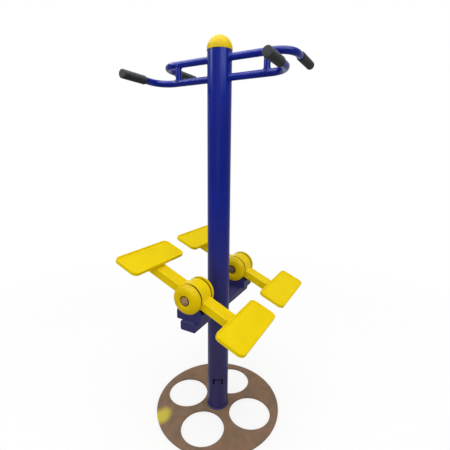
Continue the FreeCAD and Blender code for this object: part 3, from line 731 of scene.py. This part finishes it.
def yellow_coat(name, colours, specular, roughness, grain_scale, grain_depth, wear_share, dust_amount):
    """Yellow finish of the painted tubes, the castings and the mouldings, each with its own values."""
    material, graph, shader = finish_graph(name)
    drift = graph.effect("tone_drift", Scale=9.0)
    coat = graph.blend(drift, *colours)
    scratches = graph.share(graph.effect("hair_scratches", Scale=70.0, Width=0.010), amount=0.14)
    coat = graph.blend(scratches, coat, yellow_scratch)
    wear = graph.share(graph.effect("edge_band", Width=0.0014, Break=110.0), wear_share)
    coat = graph.blend(wear, coat, yellow_wear)
    dust = graph.effect("settled_dust", Amount=dust_amount, Scale=26.0)
    graph.put(shader["Base Color"], graph.blend(dust, coat, yellow_dust))
    dull = graph.maths("ADD", dust, graph.share(scratches, amount=0.5))
    graph.put(shader["Roughness"], graph.maths("ADD", graph.span(drift, *roughness), dull, clamp=True))
    shader["Specular IOR Level"].default_value = specular
    ripple = graph.effect("coat_ripple", Scale=grain_scale, Grain=0.5)
    graph.put(shader["Normal"], graph.bump(ripple, grain_depth))
    return material


def yellow_paint():
    """Powder coat on the welded tubes and drums."""
    return yellow_coat("yellow_paint", paint_yellows, specular=0.03, roughness=(0.26, 0.34),
                       grain_scale=240.0, grain_depth=0.00006, wear_share=0.12, dust_amount=0.03)


def yellow_casting():
    """Powder coat over the sand-cast skin of the pedals."""
    return yellow_coat("yellow_casting", casting_yellows, specular=0.02, roughness=(0.36, 0.46),
                       grain_scale=620.0, grain_depth=0.00010, wear_share=0.12, dust_amount=0.04)


def yellow_plastic():
    """Moulded caps, a little deeper in tone, with a finer and shallower grain."""
    return yellow_coat("yellow_plastic", plastic_yellows, specular=0.03, roughness=(0.30, 0.38),
                       grain_scale=900.0, grain_depth=0.00002, wear_share=0.08, dust_amount=0.03)


def primer_brown():
    """Weathered primer of the plate: olive and red patches, dark specks, painted edge shade, yellow
    overspray.
    """
    material, graph, shader = finish_graph("primer_brown")
    coat = graph.blend(graph.effect("tone_drift", Scale=10.0), olive_primer, red_primer)
    mottle = graph.fade(graph.noise(scale=38.0, detail=6.0, roughness=0.7), start=0.35, end=0.75)
    coat = graph.blend(graph.share(mottle, amount=0.45), coat, pale_primer)
    specks = graph.fade(graph.noise(scale=230.0, detail=3.0, roughness=0.6), start=0.62, end=0.72)
    coat = graph.blend(graph.share(specks, amount=0.5), coat, primer_speck)
    # painted shade: dark bands along the plate's edges and the holes' rims
    edge_shade = graph.effect("edge_band", Width=0.005, Break=26.0)
    coat = graph.blend(graph.share(edge_shade, amount=0.6), coat, primer_edge_shade)
    away = graph.length(graph.mapped(Location=overspray_shift, Scale=overspray_stretch))
    fray = graph.span(graph.noise(scale=30.0, detail=4.0), start=-0.22, end=0.22)
    ragged = graph.maths("ADD", away, fray)
    spray = graph.share(graph.fade(ragged, start=1.35, end=0.40), amount=0.95)
    graph.put(shader["Base Color"], graph.blend(spray, coat, overspray_yellow))
    graph.put(shader["Roughness"], graph.span(mottle, start=0.58, end=0.82))
    shader["Specular IOR Level"].default_value = 0.10
    skin = graph.maths("ADD", mottle, graph.share(specks, amount=-0.5))
    graph.put(shader["Normal"], graph.bump(skin, depth=0.0003))
    return material


def bolt_steel():
    """Zinc plate that has browned, with rust in blotches and painted shade near the post."""
    material, graph, shader = finish_graph("bolt_steel")
    rust = graph.fade(graph.noise(scale=95.0, detail=5.0, roughness=0.65), start=0.42, end=0.66)
    plate = graph.blend(graph.effect("tone_drift", Scale=60.0), brown_zinc, pale_zinc)
    worn = graph.blend(graph.share(rust, amount=0.7), plate, rust_brown)
    from_post = graph.maths("ABSOLUTE", graph.axis(graph.place(), "Y"))
    # painted shade: the bolts and washers next to the post turn dark brown
    post_shade = graph.share(graph.fade(from_post, start=post_shade_end, end=post_shade_start), amount=0.72)
    graph.put(shader["Base Color"], graph.blend(post_shade, worn, painted_shade_brown))
    graph.put(shader["Metallic"], graph.span(rust, start=0.30, end=0.05))
    graph.put(shader["Roughness"], graph.span(rust, start=0.50, end=0.75))
    shader["Specular IOR Level"].default_value = 0.2
    graph.put(shader["Normal"], graph.bump(graph.noise(scale=420.0, detail=3.0), depth=0.00008))
    return material


def bright_steel():
    """Turned steel of the shafts and bearing rings, with fine rings round the shaft."""
    material, graph, shader = finish_graph("bright_steel")
    rings = graph.noise(scale=2600.0, detail=2.0, vector=graph.mapped(Scale=(0.02, 1.0, 0.02)))
    drift = graph.effect("tone_drift", Scale=30.0)
    graph.put(shader["Base Color"], graph.blend(drift, dark_steel, light_steel))
    shader["Metallic"].default_value = 1.0
    graph.put(shader["Roughness"], graph.span(rings, start=0.22, end=0.36))
    graph.put(shader["Normal"], graph.bump(rings, depth=0.00002))
    return material


def black_rubber(name, colours, roughness, grain_scale, grain_depth, dust_amount):
    """Black rubber or plastic with a moulded grain and some dust."""
    material, graph, shader = finish_graph(name)
    drift = graph.effect("tone_drift", Scale=24.0)
    dust = graph.effect("settled_dust", Amount=dust_amount, Scale=40.0)
    graph.put(shader["Base Color"], graph.blend(dust, graph.blend(drift, *colours), rubber_dust))
    graph.put(shader["Roughness"], graph.span(drift, *roughness))
    shader["Specular IOR Level"].default_value = 0.12
    grain = graph.noise(grain_scale, detail=2.0, roughness=0.6)
    graph.put(shader["Normal"], graph.bump(grain, grain_depth))
    return material


def grip_rubber():
    """Moulded sleeves of the handlebars."""
    return black_rubber("grip_rubber", grip_blacks, roughness=(0.54, 0.68), grain_scale=900.0,
                        grain_depth=0.00010, dust_amount=0.12)


def buffer_rubber():
    """Dull, dusty rubber of the stops, and of the rings of painted shade on the drums."""
    return black_rubber("buffer_rubber", buffer_blacks, roughness=(0.62, 0.78), grain_scale=500.0,
                        grain_depth=0.00015, dust_amount=0.30)


def plug_plastic():
    """Smoother plastic of the plugs in the arms' ends."""
    return black_rubber("plug_plastic", plug_blacks, roughness=(0.36, 0.46), grain_scale=1400.0,
                        grain_depth=0.00004, dust_amount=0.12)


finishes = {}
for make_finish in (blue_paint, yellow_paint, yellow_casting, yellow_plastic, primer_brown, bolt_steel,
                    bright_steel, grip_rubber, buffer_rubber, plug_plastic):
    finishes[make_finish.__name__] = make_finish()


def dress_cad_nodes():
    """Gives every CAD node the detailed material of its packed slot."""
    for name, node in frame["nodes"].items():
        node.material_slots[0].material = finishes[packed_finish[name]]


def add_fixed_details():
    """Weld beads and grips of the post and the handlebars."""
    add_piece("foot_weld_bead", [foot_weld()], packed_finish["foot_weld"], "frame", ["foot_weld"])
    bar_welds = [bar_weld(level, side) for level in bar_heights for side in (-1, 1)]
    add_piece("bar_weld_beads", bar_welds, "blue_paint", "frame")
    strut_ends = [(node, level, above) for node in ("left_strut", "right_strut")
                  for level, above in (("lower", 1), ("upper", -1))]
    add_piece("strut_weld_beads", [strut_weld(*end) for end in strut_ends], "blue_paint", "frame")
    for level in bar_heights:
        for side in ("left", "right"):
            node = level + "_" + side + "_grip"
            add_piece(node + "_ribbed", [ribbed_grip(node)], "grip_rubber", "frame", [node])


def add_unit_details(unit):
    """Weld beads, bolts and rings of painted shade of one rocker and its support."""
    rocker = unit + "_rocker"
    shaft_bolts, pedal_bolts = unit + "_shaft_bolts", unit + "_pedal_bolts"
    arm_welds = [arm_weld(unit, side) for side in (-1, 1)]
    add_piece(unit + "_beam_weld_bead", [beam_weld(unit)], "blue_paint", "frame")
    add_piece(unit + "_cheek_weld_beads", cheek_welds(unit), "blue_paint", "frame")
    add_piece(unit + "_shaft_bolt_set", shaft_bolt_set(unit), "bolt_steel", "frame", [shaft_bolts])
    add_piece(unit + "_arm_weld_beads", arm_welds, "yellow_paint", rocker)
    add_piece(unit + "_pedal_plate_weld_beads", pedal_plate_welds(unit), "yellow_paint", rocker)
    # black rings of painted shade in the gaps between the drum and its caps
    add_piece(unit + "_drum_shade_rings", drum_shade_rings(unit), "buffer_rubber", rocker)
    add_piece(unit + "_pedal_bolt_set", pedal_bolt_set(unit), "bolt_steel", rocker, [pedal_bolts])


# Stage

floor_half = 14.0                          # half the floor's side
floor_albedo = 0.45
seen_floor_albedo = 0.34                   # share of the light that the camera sees on it, over its glow
seen_floor_glow = 0.68
floor_fade_start = 1.1                     # distances from the post between which it turns plain white
floor_fade_end = 3.2
ambient_strength = 0.76
window_tint = (0.68, 0.85, 1.0)
sky_tint = (0.88, 0.88, 1.0)
steep_lamp = 0.99                          # rise over distance, past which a lamp's top turns to Y


def background_rays(graph):
    """One for rays that see the background as it is: from the camera, mirrored or through glass."""
    path = graph.add("ShaderNodeLightPath").outputs
    seen = graph.maths("MAXIMUM", path["Is Camera Ray"], path["Is Glossy Ray"])
    return graph.maths("MAXIMUM", seen, path["Is Transmission Ray"])


def floor_material():
    """Pale floor that keeps the object's shadow near the post and turns plain white further out."""
    material = bpy.data.materials.new("pale_floor")
    material.use_nodes = True
    graph = Graph(material.node_tree)
    matt = graph.add("ShaderNodeBsdfDiffuse", {"Color": (floor_albedo,) * 3 + (1.0,)})
    shaded = graph.add("ShaderNodeBsdfDiffuse", {"Color": (seen_floor_albedo,) * 3 + (1.0,)})
    glow = graph.add("ShaderNodeEmission", {"Strength": seen_floor_glow})
    white = graph.add("ShaderNodeEmission", {"Strength": 1.0})
    near = graph.add("ShaderNodeAddShader", {0: shaded.outputs[0], 1: glow.outputs[0]})
    fade = graph.fade(graph.length(graph.place()), floor_fade_start, floor_fade_end)
    seen = graph.add("ShaderNodeMixShader", {0: fade, 1: near.outputs[0], 2: white.outputs[0]})
    both = {0: background_rays(graph), 1: matt.outputs[0], 2: seen.outputs[0]}
    surface = graph.add("ShaderNodeMixShader", both)
    graph.add("ShaderNodeOutputMaterial", {"Surface": surface.outputs[0]})
    return material


def add_floor():
    """Square floor at the plate's underside."""
    mesh = bpy.data.meshes.new("floor")
    corners = [(x * floor_half, y * floor_half, 0) for x, y in ((-1, -1), (1, -1), (1, 1), (-1, 1))]
    mesh.from_pydata(corners, [], [(0, 1, 2, 3)])
    mesh.materials.append(floor_material())
    floor = bpy.data.objects.new("floor", mesh)
    bpy.context.scene.collection.objects.link(floor)


def light_world():
    """Even grey light, and plain white where the background itself is seen."""
    world = bpy.data.worlds.new("studio")
    world.use_nodes = True
    graph = Graph(world.node_tree)
    strength = graph.span(background_rays(graph), ambient_strength, 1.0)
    background = graph.add("ShaderNodeBackground", {"Color": (1.0, 1.0, 1.0, 1.0), "Strength": strength})
    graph.add("ShaderNodeOutputWorld", {"Surface": background.outputs[0]})
    bpy.context.scene.world = world


def placement(right, up, back, place):
    """Matrix of a lamp or camera at `place`, from the directions of its right side, top and back."""
    return Matrix([[right[i], up[i], back[i], place[i]] for i in range(3)] + [[0, 0, 0, 1]])


def aim(place, target):
    """Placement of a lamp at `place` that looks at `target`."""
    back = unit_vectors(np.asarray(place, float) - np.asarray(target, float))
    upright = (0.0, 0.0, 1.0) if abs(back[2]) < steep_lamp else (0.0, 1.0, 0.0)
    right = unit_vectors(np.cross(upright, back))
    return placement(right, np.cross(back, right), back, place)


def add_softbox(name, place, target, width, height, radiance):
    """Rectangular soft lamp; its power is its radiance times its area times pi."""
    light = bpy.data.lights.new(name, "AREA")
    light.shape = "RECTANGLE"
    light.size = width
    light.size_y = height
    light.energy = radiance * width * height * math.pi
    lamp = bpy.data.objects.new(name, light)
    lamp.matrix_world = aim(place, target)
    lamp.visible_camera = False
    bpy.context.scene.collection.objects.link(lamp)
    return lamp


def add_sheen_panel(name, tint, place, target, width, height, radiance):
    """Tinted panel that glossy coats mirror, and that adds nothing to the plain light."""
    panel = add_softbox(name, place, target, width, height, radiance)
    panel.visible_diffuse = False
    panel.data.color = tint


def add_lights():
    """Two soft lamps for the plain light, and three panels for the streaks on the glossy paint."""
    add_softbox("overhead", place=(0.3, -0.5, 3.5), target=(0.0, 0.0, 0.8),
                width=2.6, height=2.6, radiance=1.3)
    add_softbox("front_fill", place=(1.2, -3.5, 1.9), target=(0.0, 0.0, 0.9),
                width=2.5, height=2.0, radiance=0.9)
    add_sheen_panel("sky_panel", sky_tint, place=(0.3, -1.5, 3.6), target=(0.3, -1.5, 1.8),
                    width=5.4, height=4.2, radiance=12.0)
    add_sheen_panel("right_panel", window_tint, place=(2.67, -1.36, 2.88), target=(0.0, 0.0, 1.7),
                    width=2.8, height=0.9, radiance=12.5)
    add_sheen_panel("left_panel", window_tint, place=(-2.36, -1.85, 2.92), target=(0.0, 0.0, 1.7),
                    width=1.3, height=0.9, radiance=16.5)


def add_camera():
    """Camera from its place, yaw, pitch and roll; the focal length in pixels sets the lens."""
    forward = np.array([-math.sin(camera_yaw) * math.cos(camera_pitch),
                        math.cos(camera_yaw) * math.cos(camera_pitch), -math.sin(camera_pitch)])
    level_right = np.array([math.cos(camera_yaw), math.sin(camera_yaw), 0.0])
    level_up = np.cross(level_right, forward)
    right = level_right * math.cos(camera_roll) + level_up * math.sin(camera_roll)
    up = level_up * math.cos(camera_roll) - level_right * math.sin(camera_roll)
    data = bpy.data.cameras.new("camera")
    data.sensor_width = sensor_width
    data.lens = sensor_width * focal_pixels / image_pixels
    camera = bpy.data.objects.new("camera", data)
    camera.matrix_world = placement(right, up, -forward, camera_place)
    bpy.context.scene.collection.objects.link(camera)
    bpy.context.scene.camera = camera


dress_cad_nodes()
add_fixed_details()
for unit in units:
    add_unit_details(unit)
add_floor()
light_world()
add_lights()
add_camera()
bpy.context.scene.view_settings.view_transform = "Standard"
